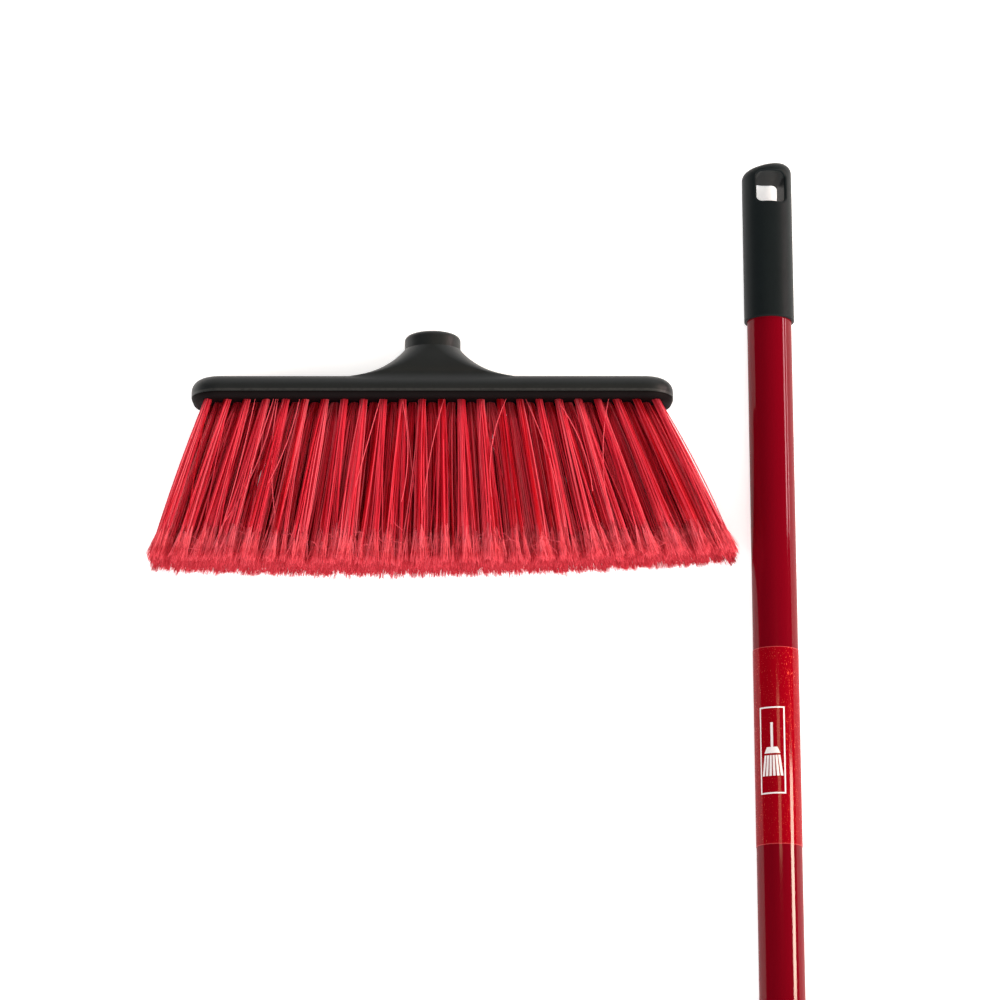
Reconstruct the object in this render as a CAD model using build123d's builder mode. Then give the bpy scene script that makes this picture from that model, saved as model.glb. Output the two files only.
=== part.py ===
"""Household sweeping broom, taken apart: a flared bristle head and its screw-in handle.

Both pieces lie on the floor side by side. Units are millimetres. The origin is the centre of the
socket's mouth in the head's collar. +Y points out of the socket, along which the handle would screw
in, +X points to the side where the handle lies, and +Z points up off the floor.
"""

import os
from math import cos, radians, sin, tan

from build123d import *

os.makedirs("parts", exist_ok=True)

# Head: depths are measured down from the collar's mouth, towards the bristles
collar_radius = 13.8
collar_height = 7.4
collar_edge_radius = 2.2
bar_length = 237.0
bar_depth = 34.0
bar_corner_radius = 14.5
bar_top_radius = 6.0
bar_top = 23.2
cover_rim = 32.2
cover_wall = 2.2
cover_roof = 2.1
rim_bead = 0.4

# Fan neck: depth, width, thickness and corner radius of each section it passes through
neck_sections = (
    (7.4, 28.4, 27.7, 13.5),
    (10.8, 34.2, 28.4, 13.0),
    (15.2, 44.2, 29.4, 12.0),
    (19.9, 61.2, 29.8, 11.0),
    (23.2, 88.0, 29.0, 11.0),
    (29.6, 120.0, 27.0, 11.0),
)
neck_fillet = 7.0

# Screw thread: the socket's groove and the handle tip's ridge
thread_pitch = 5.0
lead_in_radius = 10.3
lead_in_length = 4.5
socket_depth = 23.0
socket_radius = 8.5
groove_depth = 1.2
groove_root = 1.7
groove_mouth = 3.0
ridge_height = 1.2
ridge_crest = 1.1
ridge_base = 2.4
ridge_sink = 0.2

# Drilled filling block
underside = 35.3
block_edge_radius = 2.9
plug_clearance = 0.1
lug_length = 14.0
lug_height = 1.2
lug_reach = 0.7
lug_spacing = 58.0
lug_count = 4

# Bristle tufts: odd rows have one tuft more than even rows, which stand in their gaps
row_count = 5
row_pitch = 5.6
row_splay = 1.0
long_row_tufts = 24
tuft_pitch = 9.54
fan_angle = 22.0
tuft_reach = 81.0
trim_rise = 4.5
hole_radius = 2.0
hole_depth = 8.2
root_radius = 1.9
tip_radius = 3.75

# Flat metal anchor in the bottom of each hole
anchor_width = 4.6
anchor_thickness = 0.35
anchor_height = 1.8
anchor_depth = 6.2
anchor_clearance = 0.05

# Handle: lies parallel to the socket's axis, resting on the floor
floor_z = -bar_depth / 2
grip_radius = 12.4
handle_x = 167.0
handle_z = floor_z + grip_radius
handle_length = 1200.0
grip_end = 92.0
grip_rim = 9.4
grip_end_slope = 13.0
grip_end_radius = 5.0
grip_rim_radius = 0.5
grip_clock = 8.0
grip_bore_radius = 11.1
hang_hole_width = 14.0
hang_hole_height = 16.0
hang_hole_corner = 3.0
hang_hole_edge = 0.9
hole_wall_alignment = 0.99
hang_hole_y = 77.5
tube_top = 63.0
tube_radius = 10.75
tube_wall = 0.4
spigot_length = 18.0
fit_gap = 0.05
film_radius = 11.0
film_inner_radius = 10.77
film_top = 43.0
label_top = -157.6
label_length = 96.3
label_inner_radius = 11.03
label_radius = 11.15

# Screw tip pressed into the tube's lower end
tip_length = 22.0
tip_shank_radius = 9.8
tip_shank_length = 4.0
tip_core_radius = 8.1
tip_thread_length = 14.0
tip_nose_chamfer = 2.0
tip_flange_radius = 11.3
tip_flange = 2.0
tip_plug_length = 34.0
tip_plug_groove = 0.8
tip_plug_ribs = 3
tip_end = grip_end - handle_length
tip_shoulder = tip_end + tip_length
tube_bottom = tip_shoulder + tip_flange


def across_handle(y):
    """Plane across the handle's axis at y, with its normal towards the grip's end."""
    return Plane(origin=(handle_x, y, handle_z), x_dir=(1, 0, 0), z_dir=(0, 1, 0))


def tuft_planes(row):
    """Planes at the roots of a row's tufts, each with its normal along its tuft, away from the block."""
    tufts = long_row_tufts - row % 2
    row_z = (row_count - 1) / 2 * row_pitch - row * row_pitch
    row_lean = row_splay * row_z / row_pitch / tuft_reach
    planes = []
    for index in range(tufts):
        root_x = (index - (tufts - 1) / 2) * tuft_pitch
        fan = radians(fan_angle * root_x / (tuft_pitch * (long_row_tufts - 1) / 2))
        normal = Vector(tan(fan), -1, row_lean).normalized()
        along_row = normal.cross(Vector(0, 0, 1)).normalized()
        planes.append(Plane(origin=(root_x, -underside, row_z), x_dir=along_row, z_dir=normal))
    return planes


def tuft_length(plane):
    """Length of a tuft outside the block: the bristle edge is trimmed in a slight arc."""
    half_span = tuft_pitch * (long_row_tufts - 1) / 2
    reach = tuft_reach - trim_rise * (plane.origin.X / half_span) ** 2
    return reach / -plane.z_dir.Y


def thread_profile_plane(helix, axis_x, axis_z):
    """Plane across a helix's start, with X pointing away from the thread's axis."""
    start = helix @ 0
    outward = Vector(start.X - axis_x, 0, start.Z - axis_z).normalized()
    return Plane(origin=start, x_dir=outward, z_dir=outward.cross(Vector(0, 1, 0)))


def export(part, name):
    """Label a finished part and write its STEP file."""
    part.label = name
    export_step(part, f"parts/{name}.step")


# Moulded cover: long bar, fan neck, collar and threaded socket
with BuildPart() as head_cover:
    with BuildSketch(Plane.XZ.offset(bar_top)):
        RectangleRounded(bar_length, bar_depth, bar_corner_radius)
    extrude(amount=cover_rim - bar_top)
    fillet(head_cover.faces().sort_by(Axis.Y)[-1].edges(), bar_top_radius)
    for depth, width, thickness, corner in neck_sections:
        with BuildSketch(Plane.XZ.offset(depth)):
            RectangleRounded(width, thickness, corner)
    loft()
    neck_foot = head_cover.edges().filter_by(GeomType.BSPLINE)
    fillet(neck_foot.filter_by_position(Axis.Y, -bar_top - 2, -bar_top + 0.01), neck_fillet)
    with BuildSketch(Plane.XZ):
        Circle(collar_radius)
    extrude(amount=collar_height)
    fillet(head_cover.faces().sort_by(Axis.Y)[-1].edges(), collar_edge_radius)
    # cavity that takes the filling block, with grooves for its snap lugs
    with BuildSketch(Plane.XZ.offset(bar_top + cover_roof)):
        RectangleRounded(
            bar_length - 2 * cover_wall, bar_depth - 2 * cover_wall, bar_corner_radius - cover_wall
        )
    extrude(amount=cover_rim - bar_top - cover_roof, mode=Mode.SUBTRACT)
    lug_depth = (bar_top + cover_roof + cover_rim) / 2
    with BuildSketch(Plane.XZ.offset(lug_depth - lug_height / 2 - plug_clearance)):
        with GridLocations(lug_spacing, 0, lug_count, 1):
            Rectangle(lug_length + 2 * plug_clearance, bar_depth - 2 * cover_wall + 2 * lug_reach)
    extrude(amount=lug_height + 2 * plug_clearance, mode=Mode.SUBTRACT)
    # socket: plain lead-in, then the threaded bore
    with BuildSketch(Plane.XZ):
        Circle(lead_in_radius)
    extrude(amount=lead_in_length, mode=Mode.SUBTRACT)
    with BuildSketch(Plane.XZ):
        Circle(socket_radius)
    extrude(amount=socket_depth, mode=Mode.SUBTRACT)
    groove_length = socket_depth - lead_in_length
    with BuildLine() as groove_path:
        Helix(
            thread_pitch,
            groove_length,
            socket_radius - ridge_sink,
            center=(0, -socket_depth + groove_mouth / 2 + ridge_sink, 0),
            direction=(0, 1, 0),
        )
    with BuildSketch(thread_profile_plane(groove_path.line, 0, 0)):
        with BuildLine():
            Polyline(
                (0, -groove_mouth / 2),
                (groove_depth + ridge_sink, -groove_root / 2),
                (groove_depth + ridge_sink, groove_root / 2),
                (0, groove_mouth / 2),
                close=True,
            )
        make_face()
    sweep(path=groove_path.line, is_frenet=True, mode=Mode.SUBTRACT)
export(head_cover.part, "head_cover")

# Filling block: plug that fits the cover, rounded lower edge, drilled holes
all_planes = [tuft_planes(row) for row in range(row_count)]
plug_length = bar_length - 2 * cover_wall - 2 * plug_clearance
plug_depth = bar_depth - 2 * cover_wall - 2 * plug_clearance
with BuildPart() as tuft_block:
    with BuildSketch(Plane.XZ.offset(cover_rim)):
        RectangleRounded(bar_length - 2 * rim_bead, bar_depth - 2 * rim_bead, bar_corner_radius - rim_bead)
    extrude(amount=underside - cover_rim)
    fillet(tuft_block.faces().sort_by(Axis.Y)[0].edges(), block_edge_radius)
    with BuildSketch(Plane.XZ.offset(bar_top + cover_roof + plug_clearance)):
        RectangleRounded(plug_length, plug_depth, bar_corner_radius - cover_wall - plug_clearance)
    extrude(amount=cover_rim - bar_top - cover_roof - plug_clearance)
    with BuildSketch(Plane.XZ.offset(lug_depth - lug_height / 2)):
        with GridLocations(lug_spacing, 0, lug_count, 1):
            Rectangle(lug_length, plug_depth + 2 * lug_reach)
    extrude(amount=lug_height)
    for planes in all_planes:
        with Locations(*[plane.offset(-hole_depth) for plane in planes]):
            Cylinder(
                hole_radius,
                hole_depth + block_edge_radius,
                align=(Align.CENTER, Align.CENTER, Align.MIN),
                mode=Mode.SUBTRACT,
            )
        with Locations(*[plane.offset(-anchor_depth) for plane in planes]):
            Box(
                anchor_width + 2 * anchor_clearance,
                anchor_thickness + 2 * anchor_clearance,
                anchor_height + 2 * anchor_clearance,
                mode=Mode.SUBTRACT,
            )
export(tuft_block.part, "tuft_block")

# Bristle tufts and their anchors, one node for each row, counted from the upper face to the floor
for row, planes in enumerate(all_planes):
    with BuildPart() as tuft_row:
        for plane in planes:
            with Locations(plane):
                Cone(
                    root_radius,
                    tip_radius,
                    tuft_length(plane),
                    align=(Align.CENTER, Align.CENTER, Align.MIN),
                )
                Cylinder(
                    root_radius,
                    hole_depth - fit_gap,
                    align=(Align.CENTER, Align.CENTER, Align.MAX),
                )
        with Locations(*[plane.offset(-anchor_depth) for plane in planes]):
            Box(
                anchor_width + 2 * anchor_clearance,
                anchor_thickness + 2 * anchor_clearance,
                anchor_height + 2 * anchor_clearance,
                mode=Mode.SUBTRACT,
            )
    export(tuft_row.part, f"tuft_row_{row + 1}")

    with BuildPart() as anchor_row:
        with Locations(*[plane.offset(-anchor_depth) for plane in planes]):
            Box(anchor_width, anchor_thickness, anchor_height)
    export(anchor_row.part, f"anchor_row_{row + 1}")

# Thin-walled steel tube
with BuildPart() as handle_tube:
    with BuildSketch(across_handle(tube_bottom)):
        Circle(tube_radius)
        Circle(tube_radius - tube_wall, mode=Mode.SUBTRACT)
    extrude(amount=tube_top - tube_bottom)
export(handle_tube.part, "handle_tube")

# Plastic film sleeve shrunk over the tube
with BuildPart() as handle_film:
    with BuildSketch(across_handle(tube_bottom)):
        Circle(film_radius)
        Circle(film_inner_radius, mode=Mode.SUBTRACT)
    extrude(amount=film_top - tube_bottom)
export(handle_film.part, "handle_film")

# Label wrapped round the film
with BuildPart() as label_band:
    with BuildSketch(across_handle(label_top - label_length)):
        Circle(label_radius)
        Circle(label_inner_radius, mode=Mode.SUBTRACT)
    extrude(amount=label_length)
export(label_band.part, "label_band")

# Screw tip: ribbed plug inside the tube, flange, plain shank, threaded core with a chamfered nose
tube_bore_radius = tube_radius - tube_wall
with BuildPart() as thread_tip:
    with BuildSketch(across_handle(tip_shoulder)):
        Circle(tip_flange_radius)
    extrude(amount=tip_flange)
    with BuildSketch(across_handle(tube_bottom)):
        Circle(tube_bore_radius - fit_gap)
    extrude(amount=tip_plug_length)
    chamfer(thread_tip.faces().sort_by(Axis.Y)[-1].edges(), tip_plug_groove)
    for number in range(1, tip_plug_ribs):
        with BuildSketch(across_handle(tube_bottom + tip_plug_length * number / tip_plug_ribs)):
            Circle(tube_bore_radius)
            Circle(tube_bore_radius - tip_plug_groove, mode=Mode.SUBTRACT)
        extrude(amount=2 * tip_plug_groove, mode=Mode.SUBTRACT)
    with BuildSketch(across_handle(tip_shoulder)):
        Circle(tip_shank_radius)
    extrude(amount=-tip_shank_length)
    with BuildSketch(across_handle(tip_shoulder)):
        Circle(tip_core_radius)
    extrude(amount=-tip_length)
    chamfer(thread_tip.faces().sort_by(Axis.Y)[0].edges(), tip_nose_chamfer)
    with BuildLine() as ridge_path:
        Helix(
            thread_pitch,
            tip_thread_length,
            tip_core_radius - ridge_sink,
            center=(handle_x, tip_end + tip_nose_chamfer + ridge_base / 2, handle_z),
            direction=(0, 1, 0),
        )
    with BuildSketch(thread_profile_plane(ridge_path.line, handle_x, handle_z)):
        with BuildLine():
            Polyline(
                (0, -ridge_base / 2),
                (ridge_height + ridge_sink, -ridge_crest / 2),
                (ridge_height + ridge_sink, ridge_crest / 2),
                (0, ridge_base / 2),
                close=True,
            )
        make_face()
    sweep(path=ridge_path.line, is_frenet=True)
export(thread_tip.part, "thread_tip")

# Grip: sleeve over the tube with a slanted rounded end, a hang hole and a spigot into the tube
clock = radians(grip_clock)
slope = radians(grip_end_slope)
grip_side = Vector(cos(clock), 0, -sin(clock))
grip_front = Vector(sin(clock), 0, cos(clock))
end_normal = Vector(0, 1, 0) * cos(slope) - grip_side * sin(slope)
high_corner = grip_end + grip_end_radius * (tan(slope) + 1 / cos(slope) - 1)
with BuildPart() as grip:
    with BuildSketch(across_handle(grip_rim)):
        Circle(grip_radius)
    extrude(amount=high_corner - grip_rim)
    end_point = Vector(handle_x, high_corner, handle_z) + grip_side * grip_radius
    split(bisect_by=Plane(origin=end_point, z_dir=end_normal), keep=Keep.BOTTOM)
    fillet(grip.faces().sort_by(Axis.Y)[-1].edges(), grip_end_radius)
    fillet(grip.faces().sort_by(Axis.Y)[0].edges(), grip_rim_radius)
    with BuildSketch(across_handle(grip_rim)):
        Circle(grip_bore_radius)
    extrude(amount=tube_top + fit_gap - grip_rim, mode=Mode.SUBTRACT)
    with BuildSketch(across_handle(tube_top + fit_gap)):
        Circle(tube_bore_radius - fit_gap)
    extrude(amount=-spigot_length)
    hole_plane = Plane(origin=(handle_x, hang_hole_y, handle_z), x_dir=grip_side, z_dir=grip_front)
    with BuildSketch(hole_plane):
        RectangleRounded(hang_hole_width, hang_hole_height, hang_hole_corner)
    extrude(amount=2 * grip_radius, both=True, mode=Mode.SUBTRACT)
    mouth_edges = grip.edges(Select.LAST).filter_by(
        lambda edge: abs((edge % 0.5).dot(grip_front)) < hole_wall_alignment
    )
    fillet(mouth_edges, hang_hole_edge)
export(grip.part, "grip")

tuft_count = sum(len(planes) for planes in all_planes)
print(f"tufts {tuft_count}, handle from y {tip_end:.1f} to {grip_end:.1f}, floor at z {floor_z:.1f}")
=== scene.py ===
"""Looks of the sweeping broom: bristle filaments, moulded plastics, film, label, light and camera.

Everything is in metres in the frame of the CAD model: +Y points out of the head's screw socket, +X to
the handle and +Z up off the floor.
"""

from collections import namedtuple
from math import atan2, cos, pi, radians, sin, tan

import bmesh
import bpy
import numpy as np
from mathutils import Matrix, Vector


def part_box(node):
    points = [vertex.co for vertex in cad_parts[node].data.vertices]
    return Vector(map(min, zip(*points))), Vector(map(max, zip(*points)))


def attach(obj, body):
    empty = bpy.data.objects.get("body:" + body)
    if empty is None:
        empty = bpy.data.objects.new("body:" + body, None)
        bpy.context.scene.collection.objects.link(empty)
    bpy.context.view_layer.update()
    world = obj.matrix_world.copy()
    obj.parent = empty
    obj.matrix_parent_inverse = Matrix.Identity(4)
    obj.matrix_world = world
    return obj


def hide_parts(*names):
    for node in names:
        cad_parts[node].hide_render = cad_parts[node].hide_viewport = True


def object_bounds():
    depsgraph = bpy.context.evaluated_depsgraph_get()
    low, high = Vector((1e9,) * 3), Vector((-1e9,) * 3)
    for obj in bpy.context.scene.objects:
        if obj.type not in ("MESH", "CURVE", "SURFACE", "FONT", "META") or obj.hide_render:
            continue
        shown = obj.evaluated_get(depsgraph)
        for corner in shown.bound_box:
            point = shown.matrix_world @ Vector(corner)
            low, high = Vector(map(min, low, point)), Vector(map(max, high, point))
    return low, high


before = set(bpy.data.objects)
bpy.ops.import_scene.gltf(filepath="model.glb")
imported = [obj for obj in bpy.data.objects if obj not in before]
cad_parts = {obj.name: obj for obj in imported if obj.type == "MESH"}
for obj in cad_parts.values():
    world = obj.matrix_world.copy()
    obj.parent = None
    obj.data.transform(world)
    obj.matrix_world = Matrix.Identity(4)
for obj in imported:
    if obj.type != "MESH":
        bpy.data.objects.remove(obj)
cad_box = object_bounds()
scene = bpy.context.scene
mm = 0.001

# Where things are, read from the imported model
floor_z = cad_box[0].z
film_low, film_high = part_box("handle_film")
label_low, label_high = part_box("label_band")
film_radius = (film_high.x - film_low.x) / 2
label_radius = (label_high.x - label_low.x) / 2
handle_x = (film_low.x + film_high.x) / 2
handle_z = (film_low.z + film_high.z) / 2
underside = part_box("tuft_block")[0].y
rim_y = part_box("head_cover")[0].y

# Tuft layout: the holes of the CAD model's filling block. The fan is in degrees at the end tufts, and
# its skew opens it wider towards the handle.
row_count = 5
row_pitch = 5.6 * mm
row_splay = 1.0 * mm
long_row_tufts = 24
tuft_pitch = 9.54 * mm
half_span = tuft_pitch * (long_row_tufts - 1) / 2
fan_angle = 21.4
fan_skew = 4.0
tuft_reach = 81.8 * mm
trim_rise = 4.5 * mm
trim_skew = 1.7 * mm

# Filaments of a tuft: they stand in clumps, which part towards the trimmed end
seed = 7
filaments_per_tuft = 44
filament_radius = 0.26 * mm
filament_sides = 4
filament_points = 7
root_radius = 1.75 * mm
root_sink = 1.5 * mm
disk_scatter = 0.05
clump_disk = 0.75
clump_opening = 1.3
spread_across = 2.0
filament_jitter = 0.40 * mm
filament_bow = 0.6 * mm
trim_jitter = 0.9 * mm
tuft_sway = 1.2

# A few filaments go astray. At the head's ends a tuft spreads only this far past the fan.
wild_share = 0.09
wild_sway = 4.5 * mm
end_zone = half_span - 1.5 * tuft_pitch
outward_limit = 1.6 * mm

# How the tufts of a row spread: the rows below the first one open early, which closes the gaps that the first
# one leaves. The shade that a row starts from is painted light on the front two rows and painted shade on the
# rows below. The steps of a split end say how many shades lighter each stretch is, or darker where they are
# below zero: painted light where the hairs part, which lie in each other's shade there, and painted shade at
# the lower rows' tips, which face the front light.
Style = namedtuple("Style", "clumps spread_along clump_jitter spread_power first_shade hair_steps")
front_style = Style(6, 2.7, 1.4 * mm, 1.15, 1, (1, 1, 0))
second_style = Style(16, 4.2, 1.2 * mm, 0.45, 1, (1, 0, -1))
covered_style = second_style._replace(first_shade=0)
row_styles = (front_style, second_style, covered_style, covered_style, covered_style)

# Split ends: each filament ends in a few fine hairs
split_length = 12.5 * mm
split_jitter = 4.5 * mm
split_overlap = 1.0 * mm
hairs_per_filament = 5
hair_radius = 0.15 * mm
hair_taper = (1.15, 0.6)
hair_sides = 3
hair_points = 4
hair_ring = 0.18 * mm
hair_spread = 1.0 * mm
hair_spread_power = 0.8
hair_flatness = 0.25
hair_end_jitter = 0.45 * mm

# Loose filaments that cross the front row, and short hairs that lie across its split ends. Shares are
# of tuft_reach, and swings are in degrees.
stray_count = 14
stray_points = 9
stray_shares = (0.55, 0.95)
stray_swing = 8.0
stray_bow = 2.5 * mm
stray_climb = 1.6 * mm
cross_hair_count = 70
cross_hair_points = 6
cross_hair_shares = (0.80, 0.98)
cross_hair_heights = (1.5 * mm, 3.0 * mm)
cross_hair_length = 9.0 * mm
cross_hair_swing = 65.0
cross_hair_bow = 1.2 * mm
loose_thinness = 0.8

# Film and label sleeves
film_bore = 10.77 * mm
film_edge = 0.1 * mm
film_seam = 0.06 * mm
label_bore = 11.03 * mm
label_edge = 0.06 * mm
seam_from = radians(200)
seam_to = radians(214)

# Mark on the label, in mm: along the label's arc, and y from the label's upper edge
mark_middle = -3.5
mark_raise = 0.05
mark_sink = 0.02
frame_low = -71.4
frame_high = -30.4
frame_half = 6.5
frame_line = 0.7
stick_low = -49.4
stick_high = -37.4
stick_half = 0.6
block_low = -52.4
block_half_low = 4.0
block_half_high = 2.6
strand_count = 6
strand_pitch = 1.38
strand_flare = 1.35
strand_low = -63.4
strand_high = -53.4
strand_half_low = 0.6
strand_half_high = 0.5

# The cover's moulded lip, along which a highlight is painted, and the paler edge of the label
lip_y = rim_y + 0.7 * mm
lip_half = 0.8 * mm
label_edge_line = (0.25 * mm, 0.5 * mm)


# ---------------------------------------------------------------- shader nodes
# Each function works in the node tree of its owner, a material or the world.


def add_node(owner, kind):
    """New shader node."""
    return owner.node_tree.nodes.new(f"ShaderNode{kind}")


def link(owner, output, socket):
    """Link from an output to a socket."""
    owner.node_tree.links.new(output, socket)


def coordinate(owner, space, axis):
    """One texture coordinate. Object space is the CAD model's frame in metres, and a world's generated
    space is the direction that it is seen in."""
    separate = add_node(owner, "SeparateXYZ")
    link(owner, add_node(owner, "TexCoord").outputs[space], separate.inputs["Vector"])
    return separate.outputs[axis]


def noise(owner, scale, detail=2.0, stretch=(1.0, 1.0, 1.0)):
    """Noise texture, with scale in cells per metre."""
    mapping = add_node(owner, "Mapping")
    mapping.inputs["Scale"].default_value = stretch
    link(owner, add_node(owner, "TexCoord").outputs["Object"], mapping.inputs["Vector"])
    texture = add_node(owner, "TexNoise")
    texture.inputs["Scale"].default_value = scale
    texture.inputs["Detail"].default_value = detail
    link(owner, mapping.outputs["Vector"], texture.inputs["Vector"])
    return texture.outputs["Fac"]


def remap(owner, value, low, high, to_low=0.0, to_high=1.0):
    """Smooth step of a value from low to high."""
    node = add_node(owner, "MapRange")
    node.interpolation_type = "SMOOTHSTEP"
    node.inputs["From Min"].default_value = low
    node.inputs["From Max"].default_value = high
    node.inputs["To Min"].default_value = to_low
    node.inputs["To Max"].default_value = to_high
    link(owner, value, node.inputs["Value"])
    return node.outputs["Result"]


def calculate(owner, operation, first, second=0.0):
    """Math node on an output and an output or a number."""
    node = add_node(owner, "Math")
    node.operation = operation
    link(owner, first, node.inputs[0])
    if isinstance(second, float):
        node.inputs[1].default_value = second
    else:
        link(owner, second, node.inputs[1])
    return node.outputs["Value"]


def mix_color(owner, factor, first, second):
    """Colour mixed by a factor; each colour is a tuple or an output."""
    node = add_node(owner, "Mix")
    node.data_type = "RGBA"
    link(owner, factor, node.inputs["Factor"])
    for socket, color in ((node.inputs[6], first), (node.inputs[7], second)):
        if isinstance(color, tuple):
            socket.default_value = (*color, 1.0)
        else:
            link(owner, color, socket)
    return node.outputs[2]


def scaled(color, factor):
    """Colour made lighter or darker."""
    return tuple(factor * channel for channel in color)


# ---------------------------------------------------------------- materials


def new_material(name, color, roughness, specular=0.5, metallic=0.0, coat=0.0):
    """Principled material, returned with its shader node."""
    material = bpy.data.materials.new(name)
    material.use_nodes = True
    shader = material.node_tree.nodes["Principled BSDF"]
    shader.inputs["Base Color"].default_value = (*color, 1.0)
    shader.inputs["Roughness"].default_value = roughness
    shader.inputs["Specular IOR Level"].default_value = specular
    shader.inputs["Metallic"].default_value = metallic
    shader.inputs["Coat Weight"].default_value = coat
    return material, shader


def add_bump(material, shader, height, distance, strength):
    """Bump from a height output."""
    node = add_node(material, "Bump")
    node.inputs["Strength"].default_value = strength
    node.inputs["Distance"].default_value = distance
    link(material, height, node.inputs["Height"])
    link(material, node.outputs["Normal"], shader.inputs["Normal"])


def moulded_plastic(name, color, roughness, specular=0.5, lip_highlight_color=None):
    """Black moulded plastic: fine grain, faint mottling and, along the cover's lip, a paler speckled line,
    which is a painted highlight.
    """
    material, shader = new_material(name, color, roughness, specular)
    tone = mix_color(material, noise(material, 90.0, 3.0), scaled(color, 0.85), scaled(color, 1.25))
    if lip_highlight_color:
        # Painted highlight: a paler line along the lip, broken up by speckles
        y = coordinate(material, "Object", "Y")
        below = remap(material, y, lip_y - lip_half, lip_y - 0.4 * lip_half)
        above = remap(material, y, lip_y + 0.3 * lip_half, lip_y + lip_half, 1.0, 0.0)
        line = calculate(material, "MULTIPLY", below, above)
        highlight_speckle = remap(material, noise(material, 900.0, 2.0, (0.6, 1.0, 1.0)), 0.25, 0.6, 0.45, 1.0)
        tone = mix_color(material, calculate(material, "MULTIPLY", line, highlight_speckle), tone, lip_highlight_color)
    link(material, tone, shader.inputs["Base Color"])
    grain = noise(material, 2600.0, 1.0)
    grain_roughness = remap(material, grain, 0.2, 0.8, roughness - 0.06, roughness + 0.08)
    link(material, grain_roughness, shader.inputs["Roughness"])
    add_bump(material, shader, grain, 0.04 * mm, 0.5)
    return material


def wrapped_film(name, color, roughness, coat, edges=(), edge_color=None, flakes=None):
    """Printed plastic film: faint stretch marks and ripples, paler cut edges, and metal flakes given by
    their colour and their share of the surface's noise."""
    material, shader = new_material(name, color, roughness, 0.0, coat=coat)
    shader.inputs["Coat Roughness"].default_value = 0.07
    stretch_marks = noise(material, 60.0, 3.0, (1.0, 0.05, 1.0))
    tone = mix_color(material, stretch_marks, scaled(color, 0.9), scaled(color, 1.12))
    if flakes:
        flake_color, share = flakes
        specks = remap(material, noise(material, 1800.0, 0.0), 1.0 - share, 1.05 - share)
        tone = mix_color(material, specks, tone, flake_color)
        link(material, calculate(material, "MULTIPLY", specks, 0.9), shader.inputs["Metallic"])
    for edge in edges:
        offset = calculate(material, "SUBTRACT", coordinate(material, "Object", "Y"), edge)
        distance = calculate(material, "ABSOLUTE", offset)
        line = remap(material, distance, *label_edge_line, 1.0, 0.0)
        tone = mix_color(material, line, tone, edge_color)
    link(material, tone, shader.inputs["Base Color"])
    ripple = noise(material, 120.0, 2.0, (1.0, 0.25, 1.0))
    add_bump(material, shader, ripple, 0.06 * mm, 0.35)
    return material


def brushed_metal(name, color, roughness, grain_scale, grain_stretch, rough_from, rough_to):
    """Bare metal whose roughness varies along its grain."""
    material, shader = new_material(name, color, roughness, metallic=1.0)
    grain = noise(material, grain_scale, 2.0, grain_stretch)
    link(material, remap(material, grain, 0.2, 0.8, rough_from, rough_to), shader.inputs["Roughness"])
    return material


def printing_ink(name, color, pale, dark):
    """Slightly uneven glossy ink."""
    material, shader = new_material(name, color, 0.3, coat=0.4)
    link(material, mix_color(material, noise(material, 1500.0), pale, dark), shader.inputs["Base Color"])
    return material


# The cover's lip colour is a painted highlight
cover_plastic = moulded_plastic(
    "cover_plastic", (0.0080, 0.0092, 0.0091), 0.42, 0.25, lip_highlight_color=(0.030, 0.030, 0.029)
)
grip_plastic = moulded_plastic("grip_plastic", (0.0062, 0.0086, 0.0092), 0.42, 0.08)
# Painted shade and painted red reflection: the block is darker than the cover because it lies in the cover's
# shade, and red from light thrown back by the bristles
block_plastic = moulded_plastic("block_plastic", (0.0045, 0.0026, 0.0028), 0.6, 0.05)
tip_plastic = moulded_plastic("tip_plastic", (0.013, 0.013, 0.014), 0.4)
film_red = wrapped_film("film_dark_red", (0.150, 0.0010, 0.0060), 0.5, 0.35)
label_red = wrapped_film(
    "label_bright_red",
    (0.250, 0.0005, 0.0056),
    0.45,
    0.28,
    edges=(label_low.y, label_high.y),
    edge_color=(0.42, 0.04, 0.045),
    flakes=((0.52, 0.055, 0.035), 0.28),
)
anchor_metal = brushed_metal("anchor_wire", (0.55, 0.54, 0.50), 0.35, 800.0, (1.0, 1.0, 1.0), 0.25, 0.5)
tube_metal = brushed_metal("tube_steel", (0.55, 0.55, 0.56), 0.3, 300.0, (1.0, 0.1, 1.0), 0.22, 0.42)
ink = printing_ink("label_ink", (0.80, 0.78, 0.78), (0.86, 0.84, 0.84), (0.70, 0.62, 0.62))

# Bristle shades, darkest first: filaments take the first ones, split ends the others. The spread is partly
# the filaments' own uneven tone and partly painted light: the palest, pinkest shades stand in for the
# filaments' highlights.
filament_shades = (
    (0.300, 0.0004, 0.0012),
    (0.460, 0.0020, 0.0090),
    (0.640, 0.0180, 0.0380),
    (0.780, 0.0460, 0.0740),
    (0.880, 0.0980, 0.1320),
)
hair_shades = (
    (0.440, 0.0120, 0.0230),
    (0.560, 0.0260, 0.0410),
    (0.760, 0.0620, 0.0860),
    (0.940, 0.1100, 0.1420),
    (1.000, 0.1500, 0.1900),
)
bristle_materials = [
    new_material(f"red_bristle_{number}", shade, 0.34, 0.15)[0]
    for number, shade in enumerate(filament_shades + hair_shades)
]
stray_shade = len(filament_shades) - 1
# How often a split end takes the second, third and fourth hair shade
hair_weights = (0.35, 0.40, 0.25)

cad_materials = {
    "head_cover": cover_plastic,
    "tuft_block": block_plastic,
    "grip": grip_plastic,
    "thread_tip": tip_plastic,
    "handle_tube": tube_metal,
}
for row in range(row_count):
    cad_materials[f"anchor_row_{row + 1}"] = anchor_metal
for name, material in cad_materials.items():
    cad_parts[name].data.materials[0] = material


# ---------------------------------------------------------------- bristles


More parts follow.
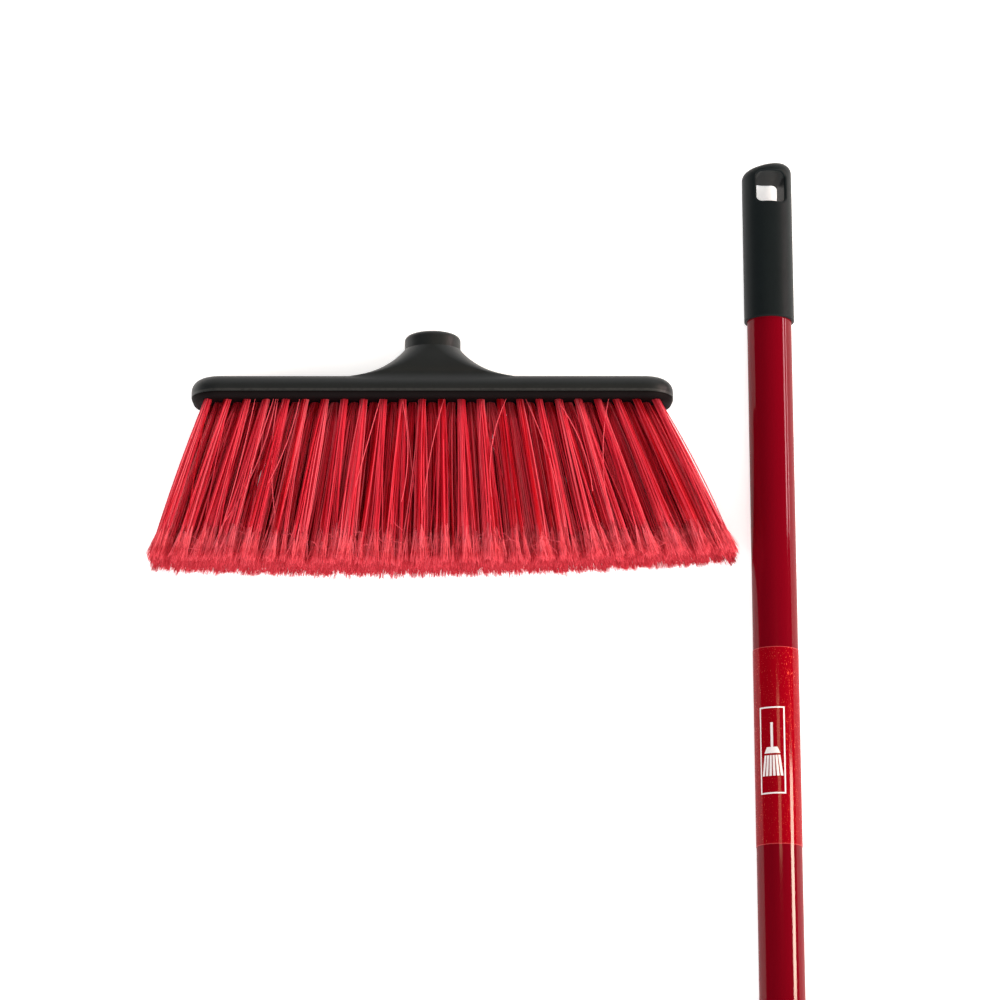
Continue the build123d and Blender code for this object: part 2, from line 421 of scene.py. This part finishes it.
def new_object(name, mesh):
    """Object of a mesh, linked to the scene."""
    made = bpy.data.objects.new(name, mesh)
    scene.collection.objects.link(made)
    return made


def unit(vectors):
    """Vectors scaled to length one."""
    return vectors / np.linalg.norm(vectors, axis=-1, keepdims=True)


def prisms(points, radii, sides):
    """Closed prism round each line of points: vertices, side quads and end caps. A triangle lies with
    one side up."""
    lines, stations, _ = points.shape
    along = unit(points[:, -1] - points[:, 0])
    across = unit(np.cross(along, (0.0, 0.0, 1.0)))
    up = np.cross(across, along)
    first_angle = pi / 6 if sides == 3 else 0.0
    angles = 2 * pi * np.arange(sides) / sides + first_angle
    spokes = np.cos(angles)[None, :, None] * across[:, None] + np.sin(angles)[None, :, None] * up[:, None]
    vertices = points[:, :, None] + radii[:, :, None, None] * spokes[:, None]
    index = np.arange(lines * stations * sides).reshape(lines, stations, sides)
    turned = np.roll(index, -1, axis=2)
    quads = np.stack([index[:, :-1], turned[:, :-1], turned[:, 1:], index[:, 1:]], axis=-1)
    caps = np.stack([index[:, 0, ::-1], index[:, -1]], axis=1)
    return vertices.reshape(-1, 3), quads.reshape(-1, 4), caps.reshape(-1, sides)


def bristle_piece(name, batches):
    """Mesh object from batches of (points, radii, sides, shade of each line's segments)."""
    vertices, corners, sizes, shades = [], [], [], []
    count = 0
    for points, radii, sides, segment_shades in batches:
        batch_vertices, quads, caps = prisms(points, radii, sides)
        vertices.append(batch_vertices)
        for faces in (quads, caps):
            corners.append((faces + count).ravel())
            sizes.append(np.full(len(faces), faces.shape[1]))
        shades.append(np.repeat(segment_shades.ravel(), sides))
        shades.append(segment_shades[:, [0, -1]].ravel())
        count += len(batch_vertices)
    vertices, corners, sizes, shades = map(np.concatenate, (vertices, corners, sizes, shades))
    mesh = bpy.data.meshes.new(name)
    mesh.vertices.add(len(vertices))
    mesh.vertices.foreach_set("co", vertices.astype(np.float32).ravel())
    mesh.loops.add(len(corners))
    mesh.loops.foreach_set("vertex_index", corners.astype(np.int32))
    mesh.polygons.add(len(sizes))
    mesh.polygons.foreach_set("loop_start", (np.cumsum(sizes) - sizes).astype(np.int32))
    for material in bristle_materials:
        mesh.materials.append(material)
    mesh.polygons.foreach_set("material_index", shades.astype(np.int32))
    mesh.update(calc_edges=True)
    mesh.polygons.foreach_set("use_smooth", np.ones(len(sizes), dtype=bool))
    return new_object(name, mesh)


Tuft = namedtuple("Tuft", "root direction along_row upward length")


def row_tufts(row):
    """Each tuft of a row: its root, its direction, two directions across it and its length."""
    tufts = long_row_tufts - row % 2
    row_z = (row_count - 1) / 2 * row_pitch - row * row_pitch
    lean = row_splay * row_z / row_pitch / tuft_reach
    for index in range(tufts):
        root_x = (index - (tufts - 1) / 2) * tuft_pitch
        share = root_x / half_span
        fan = radians(fan_angle * share + fan_skew * share * share)
        direction = unit(np.array([tan(fan), -1.0, lean]))
        along_row = unit(np.cross(direction, (0.0, 0.0, 1.0)))
        upward = np.cross(along_row, direction)
        length = (tuft_reach - trim_rise * share * share - trim_skew * share) / -direction[1]
        yield Tuft(np.array([root_x, underside, row_z]), direction, along_row, upward, length)


def disk_points(random, count, radius):
    """Evenly packed points in a disk, a little disturbed."""
    golden = pi * (3 - 5**0.5)
    number = np.arange(count) + 0.5
    turn = golden * number + random.uniform(0, 2 * pi)
    points = radius * np.sqrt(number / count)[:, None] * np.stack([np.cos(turn), np.sin(turn)], axis=1)
    return points + random.normal(0, disk_scatter * radius, points.shape)


def filament_offsets(random, tuft, style):
    """Offsets of a tuft's filaments from its axis, along the row and upward, at the block and at the
    trimmed end, and the clump that each is in."""
    roots = disk_points(random, filaments_per_tuft, root_radius)
    centres = disk_points(random, style.clumps, clump_disk * root_radius)
    clump = np.argmin(np.linalg.norm(roots[:, None] - centres[None], axis=2), axis=1)
    spread = np.array([style.spread_along, spread_across])
    clump_tips = centres * spread + random.normal(0, style.clump_jitter, centres.shape)
    tips = clump_tips[clump] + clump_opening * (roots - centres[clump])
    tips = tips + random.normal(0, filament_jitter, roots.shape)
    wild = random.random(filaments_per_tuft) < wild_share
    tips[:, 0] += wild * random.normal(0, wild_sway, filaments_per_tuft)
    root_x = tuft.root[0]
    if abs(root_x) > end_zone:
        outward = -np.sign(root_x)
        tips[:, 0] = outward * np.minimum(outward * tips[:, 0], outward_limit)
    sway = random.normal(0, tuft_sway) * (1 - abs(root_x) / half_span)
    tips[:, 0] += tan(radians(sway)) * tuft.length
    return roots, tips, clump


def place(tuft, spread_power, roots, tips, bow, distance):
    """Points of each filament at its distances from the block."""
    share = np.clip(distance / tuft.length, 0.0, 1.1)[..., None]
    spread = share**spread_power
    offset = roots[:, None] * (1 - spread) + tips[:, None] * spread + bow[:, None] * (4 * share * (1 - share))
    return tuft.root + distance[..., None] * tuft.direction + across_tuft(tuft, offset)


def across_tuft(tuft, offset):
    """Vectors from offsets along the row and upward."""
    return offset[..., :1] * tuft.along_row + offset[..., 1:] * tuft.upward


def make_tuft(random, tuft, style):
    """Filaments of one tuft and the hairs that they split into, each as points, radii and shades."""
    count = filaments_per_tuft
    roots, tips, clump = filament_offsets(random, tuft, style)
    bow = random.normal(0, filament_bow, roots.shape)
    trim_slope = -tuft.direction[0] / tuft.direction[1]
    reach = tuft.length - trim_slope * tips[:, 0] + random.normal(0, trim_jitter, count)
    split = reach - split_length + random.uniform(-split_jitter, split_jitter, count)
    # Painted light and shade: the row's starting shade lightens the front two rows and darkens those below;
    # clump and filament add their own uneven tone
    shades = style.first_shade + random.integers(0, 2, style.clumps)[clump] + random.integers(0, 3, count)
    steps = np.linspace(0, 1, filament_points)
    stations = steps * (split + root_sink)[:, None] - root_sink
    filaments = (
        place(tuft, style.spread_power, roots, tips, bow, stations),
        np.full((count, filament_points), filament_radius),
        np.repeat(shades[:, None], filament_points - 1, axis=1),
    )

    owner = np.repeat(np.arange(count), hairs_per_filament)
    hairs = len(owner)
    end = reach[owner] + random.normal(0, hair_end_jitter, hairs)
    steps = np.linspace(0, 1, hair_points)
    stations = (split[owner] - split_overlap)[:, None] * (1 - steps) + end[:, None] * steps
    turn = 2 * pi * (np.tile(np.arange(hairs_per_filament), count) / hairs_per_filament)
    turn = turn + random.uniform(0, 2 * pi, hairs)
    start = hair_ring * np.stack([np.cos(turn), np.sin(turn)], axis=1)
    drift = random.normal(0, hair_spread, (hairs, 2)) * np.array([1.0, hair_flatness])
    offset = start[:, None] + drift[:, None] * (steps**hair_spread_power)[:, None]
    points = place(tuft, style.spread_power, roots[owner], tips[owner], bow[owner], stations)
    radii = np.tile(hair_radius * np.linspace(*hair_taper, hair_points), (hairs, 1))
    shades = len(filament_shades) + 1 + random.choice(len(hair_weights), hairs, p=hair_weights)
    # Painted light and shade along each split end: its first stretch lighter where the hairs part, and on the
    # rows below, its tip darker
    shades = shades[:, None] + np.array(style.hair_steps)
    return filaments, (points + across_tuft(tuft, offset), radii, shades)


def keep_off_floor(points, radius):
    """Points raised where they would sink into the floor."""
    points[..., 2] = np.maximum(points[..., 2], floor_z + radius)
    return points


def curved_lines(start, heading, length, bow, point_count):
    """Lines that leave start along heading in the floor's plane and bow sideways."""
    steps = np.linspace(0, 1, point_count)[None, :, None]
    along = np.stack([np.sin(heading), -np.cos(heading), np.zeros_like(heading)], axis=1)[:, None]
    sideways = np.stack([np.cos(heading), np.sin(heading), np.zeros_like(heading)], axis=1)[:, None]
    bend = 4 * steps * (1 - steps) * bow[:, None, None]
    return start[:, None] + length[:, None, None] * steps * along + bend * sideways


def loose_batch(lines, radius, sides):
    """Batch of thin loose lines in one shade."""
    count, stations, _ = lines.shape
    radii = np.full((count, stations), loose_thinness * radius)
    return lines, radii, sides, np.full((count, stations - 1), stray_shade)


def strays(random, top):
    """Filaments that leave the front row and cross it."""
    root_x = random.uniform(-half_span, half_span, stray_count)
    swing = np.radians(random.normal(0, stray_swing, stray_count))
    heading = radians(fan_angle) * root_x / half_span + swing
    heading = np.clip(heading, -radians(fan_angle), radians(fan_angle))
    start = np.stack([root_x, np.full(stray_count, underside), np.full(stray_count, top)], axis=1)
    length = random.uniform(*stray_shares, stray_count) * tuft_reach
    bow = random.normal(0, stray_bow, stray_count)
    lines = curved_lines(start, heading, length, bow, stray_points)
    lines[..., 2] += stray_climb * np.linspace(0, 1, stray_points)
    return loose_batch(lines, filament_radius, filament_sides)


def cross_hairs(random, top):
    """Short hairs that lie across the front row's split ends."""
    share = random.uniform(-1, 1, cross_hair_count)
    down = underside - random.uniform(*cross_hair_shares, cross_hair_count) * tuft_reach
    fan = np.tan(np.radians(fan_angle * share))
    height = top + random.uniform(*cross_hair_heights, cross_hair_count)
    start = np.stack([share * half_span + fan * (underside - down), down, height], axis=1)
    heading = np.radians(fan_angle * share + random.normal(0, cross_hair_swing, cross_hair_count))
    length = cross_hair_length * random.uniform(0.4, 1.0, cross_hair_count)
    start[:, 1] = np.maximum(start[:, 1], underside - tuft_reach + length)
    bow = random.normal(0, cross_hair_bow, cross_hair_count)
    lines = curved_lines(start, heading, length, bow, cross_hair_points)
    return loose_batch(lines, hair_radius, hair_sides)


random = np.random.default_rng(seed)
for row in range(row_count):
    filaments, hairs = zip(*(make_tuft(random, tuft, row_styles[row]) for tuft in row_tufts(row)))
    batches = []
    for lines, radius, sides in (
        (filaments, filament_radius, filament_sides),
        (hairs, hair_radius, hair_sides),
    ):
        points, radii, shades = map(np.concatenate, zip(*lines))
        batches.append((keep_off_floor(points, radius), radii, sides, shades))
    if row == 0:
        front_top = (row_count - 1) / 2 * row_pitch + root_radius
        batches.append(strays(random, front_top))
        batches.append(cross_hairs(random, front_top))
    piece = bristle_piece(f"bristles_row_{row + 1}", batches)
    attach(piece, "head")
    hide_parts(f"tuft_row_{row + 1}")


# ---------------------------------------------------------------- film and label


def shaded_mesh(name, vertices, faces, material, sharp_angle):
    """Mesh with one material, smooth apart from its sharp edges."""
    mesh = bpy.data.meshes.new(name)
    mesh.from_pydata(vertices, [], faces)
    shape = bmesh.new()
    shape.from_mesh(mesh)
    bmesh.ops.recalc_face_normals(shape, faces=shape.faces)
    shape.to_mesh(mesh)
    shape.free()
    mesh.materials.append(material)
    mesh.shade_smooth()
    mesh.set_sharp_from_angle(angle=radians(sharp_angle))
    return mesh


def on_handle(radius, angle, y):
    """Point at a radius from the handle's axis, turned from upright towards +X."""
    return handle_x + radius * sin(angle), y, handle_z + radius * cos(angle)


def sleeve(name, radius, bore, low, high, material, edge, seam=0.0, segments=160):
    """Thin closed sleeve round the handle's axis, with rounded ends and an overlap seam at its back."""
    profile = (
        (bore, low),
        (radius - edge, low),
        (radius - 0.3 * edge, low + 0.3 * edge),
        (radius, low + edge),
        (radius, high - edge),
        (radius - 0.3 * edge, high - 0.3 * edge),
        (radius - edge, high),
        (bore, high),
    )
    rings = len(profile)
    vertices, faces = [], []
    for segment in range(segments):
        angle = 2 * pi * segment / segments
        lift = seam if seam_from < angle < seam_to else 0.0
        here = segment * rings
        there = (segment + 1) % segments * rings
        for ring, (distance, y) in enumerate(profile):
            after = (ring + 1) % rings
            vertices.append(on_handle(distance + (lift if distance > bore else 0.0), angle, y))
            faces.append((here + ring, there + ring, there + after, here + after))
    return new_object(name, shaded_mesh(name, vertices, faces, material, 15))


def wrapped_mark(name, patches, columns=12):
    """Thin closed patches laid round the label. Each is given by its low and its high edge: where the
    edge starts and ends along the label's arc, and its y."""
    outer = label_radius + mark_raise * mm
    inner = label_radius - mark_sink * mm
    vertices, faces = [], []
    for edges in patches:
        first = len(vertices)
        for column in range(columns + 1):
            for start, end, y in edges:
                angle = (mark_middle + start + (end - start) * column / columns) * mm / outer
                for radius in (inner, outer):
                    vertices.append(on_handle(radius, angle, label_high.y + y * mm))
        for column in range(columns):
            left = first + 4 * column
            for one, two in ((1, 3), (3, 2), (2, 0), (0, 1)):
                faces.append((left + one, left + two, left + 4 + two, left + 4 + one))
        last = first + 4 * columns
        faces.append((first, first + 1, first + 3, first + 2))
        faces.append((last + 2, last + 3, last + 1, last))
    return new_object(name, shaded_mesh(name, vertices, faces, ink, 40))


def patch_edge(centre, half, y):
    """Edge of a patch, given by its centre and half its length."""
    return centre - half, centre + half, y


def mark_patches():
    """A plain frame round a broom pictogram: a stick, a block and its strands."""
    upright = frame_half - frame_line / 2
    for centre in (-upright, upright):
        yield patch_edge(centre, frame_line / 2, frame_low), patch_edge(centre, frame_line / 2, frame_high)
    yield patch_edge(0.0, frame_half, frame_low - frame_line), patch_edge(0.0, frame_half, frame_low)
    yield patch_edge(0.0, frame_half, frame_high), patch_edge(0.0, frame_half, frame_high + frame_line)
    yield patch_edge(0.0, stick_half, stick_low), patch_edge(0.0, stick_half, stick_high)
    yield patch_edge(0.0, block_half_low, block_low), patch_edge(0.0, block_half_high, stick_low)
    for strand in range(strand_count):
        centre = strand_pitch * (strand - (strand_count - 1) / 2)
        low_edge = patch_edge(strand_flare * centre, strand_half_low, strand_low)
        yield low_edge, patch_edge(centre, strand_half_high, strand_high)


film = sleeve(
    "film_sleeve", film_radius, film_bore, film_low.y, film_high.y, film_red, film_edge, film_seam
)
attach(film, "handle")
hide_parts("handle_film")

label = sleeve(
    "label_sleeve", label_radius, label_bore, label_low.y, label_high.y, label_red, label_edge
)
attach(label, "handle")
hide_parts("label_band")

mark = wrapped_mark("label_mark", mark_patches())
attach(mark, "handle")


# ---------------------------------------------------------------- floor, light and camera

# The camera looks down on the floor, 15 degrees off straight down
camera_elevation = radians(75)
camera_distance = 1.83
camera_target = Vector((0.0333, -0.0830, 0.0))
towards_camera = Vector((0.0, -cos(camera_elevation), sin(camera_elevation)))
camera_spot = camera_target + camera_distance * towards_camera

# The floor glows a little, which keeps it white under the object
bpy.ops.mesh.primitive_circle_add(vertices=96, radius=40.0, fill_type="NGON", location=(0, 0, floor_z))
floor = bpy.context.object
floor.name = "floor"
floor_material, floor_shader = new_material("floor_white", (0.95, 0.95, 0.95), 1.0, 0.0)
floor_shader.inputs["Emission Color"].default_value = (1.0, 1.0, 1.0, 1.0)
floor_shader.inputs["Emission Strength"].default_value = 0.55
floor.data.materials.append(floor_material)

world = bpy.data.worlds.new("studio")
scene.world = world
world.use_nodes = True
background = world.node_tree.nodes["Background"]
background.inputs["Color"].default_value = (1.0, 1.0, 1.0, 1.0)

# Soft light from the front and from behind. The band between them is dark, because it is mirrored in
# the tops of the black plastic and the middle of the tube, which then keep their own colour. The
# camera itself sees a white backdrop all round.
front = remap(world, coordinate(world, "Generated", "Y"), -0.35, -0.10, 2.3, 0.0)
back = remap(world, coordinate(world, "Generated", "Y"), 0.50, 0.65, 0.0, 1.5)
lit_side = remap(world, coordinate(world, "Generated", "X"), -1.0, 1.0, 0.8, 1.2)
strength = calculate(world, "MULTIPLY", calculate(world, "ADD", front, back), lit_side)
seen_by_camera = add_node(world, "LightPath").outputs["Is Camera Ray"]
link(world, calculate(world, "MAXIMUM", strength, seen_by_camera), background.inputs["Strength"])


def strip_light(name, start, end, width, radiance, color):
    """Long thin area light between two points, facing the handle's upper part."""
    middle = (start + end) / 2
    length = (end - start).length
    along = (end - start).normalized()
    facing = Vector((handle_x, middle.y, handle_z)) - middle
    facing = (facing - facing.dot(along) * along).normalized()
    lamp = bpy.data.lights.new(name, "AREA")
    lamp.shape = "RECTANGLE"
    lamp.size = width
    lamp.size_y = length
    lamp.energy = radiance * pi * width * length
    lamp.color = color
    light = new_object(name, lamp)
    turn = Matrix((along.cross(-facing), along, -facing)).transposed().to_4x4()
    light.matrix_world = Matrix.Translation(middle) @ turn
    light.visible_camera = False


def mirrored(y, surface_turn, distance=1.2):
    """Point that the camera sees mirrored at y on the handle, where its surface faces surface_turn
    degrees from upright, towards +X."""
    surface = Vector((handle_x, y, handle_z))
    view = camera_spot - surface
    turn = radians(2 * surface_turn) - atan2(view.x, view.z)
    level = Vector((view.x, 0.0, view.z)).length
    return surface + distance * Vector((sin(turn), -view.y / level, cos(turn)))


# Narrow lights whose reflections run down the film and the label: the stretch of the handle that
# mirrors each one, where on its round surface, and the light's width, radiance and colour
for name, high_y, low_y, surface_turn, width, radiance, color in (
    ("strip_low", 0.045, -0.10, 43.0, 0.16, 22.0, (1.0, 0.68, 0.72)),
    ("strip_high", 0.045, -0.10, 34.5, 0.16, 22.0, (1.0, 0.68, 0.72)),
    ("strip_label", -0.215, -0.330, 30.0, 0.36, 55.0, (1.0, 0.88, 0.70)),
    ("strip_glitter", -0.180, -0.260, -1.0, 0.30, 9.0, (1.0, 0.72, 0.45)),
):
    strip_light(name, mirrored(high_y, surface_turn), mirrored(low_y, surface_turn), width, radiance, color)

camera_data = bpy.data.cameras.new("camera")
camera_data.lens = 134.7
camera_data.clip_end = 100.0
camera = new_object("camera", camera_data)
scene.camera = camera
camera.location = camera_spot
camera.rotation_mode = "QUATERNION"
camera.rotation_quaternion = towards_camera.to_track_quat("Z", "Y")

scene.view_settings.view_transform = "Standard"
scene.view_settings.look = "None"
